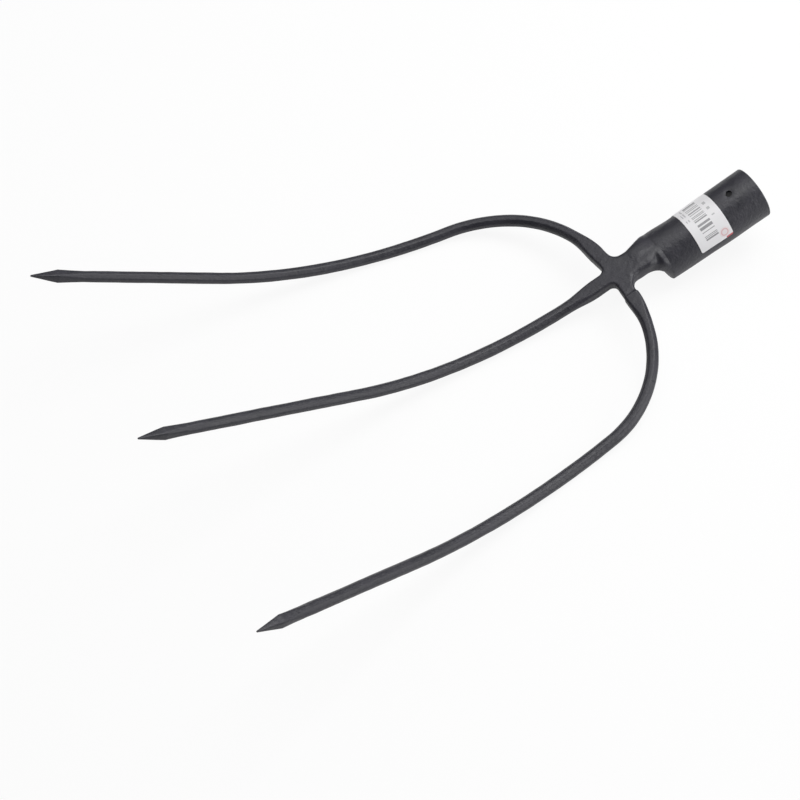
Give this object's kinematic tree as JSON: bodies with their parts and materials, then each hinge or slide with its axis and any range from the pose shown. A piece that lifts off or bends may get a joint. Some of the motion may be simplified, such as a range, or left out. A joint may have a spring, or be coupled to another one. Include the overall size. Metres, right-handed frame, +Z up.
{
  "type": "pitchfork head",
  "caption": "Head of an old farm pitchfork: long curved bar tines welded to a forged cross, with a round socket for a wooden handle.",
  "frame": {"origin": "on the ground under the middle of the bounding box, with the head lying on the bellies of its outer tines and the lower corner of its socket", "axes": "+Z up at rest, -X along the tines towards their points, +X towards the mouth of the socket, +Y towards the right-hand tine"},
  "size_m": [0.4885, 0.3086, 0.0982],
  "materials": {
    "black_paint": "satin black paint over forged and drawn steel",
    "label_paper": "smooth coated paper with grey print bars"
  },
  "bodies": {
    "root": {"socket": "black_paint", "hub": "black_paint", "centre_tine": "black_paint", "left_tine": "black_paint", "right_tine": "black_paint", "label": "label_paper"}
  },
  "joints": []
}
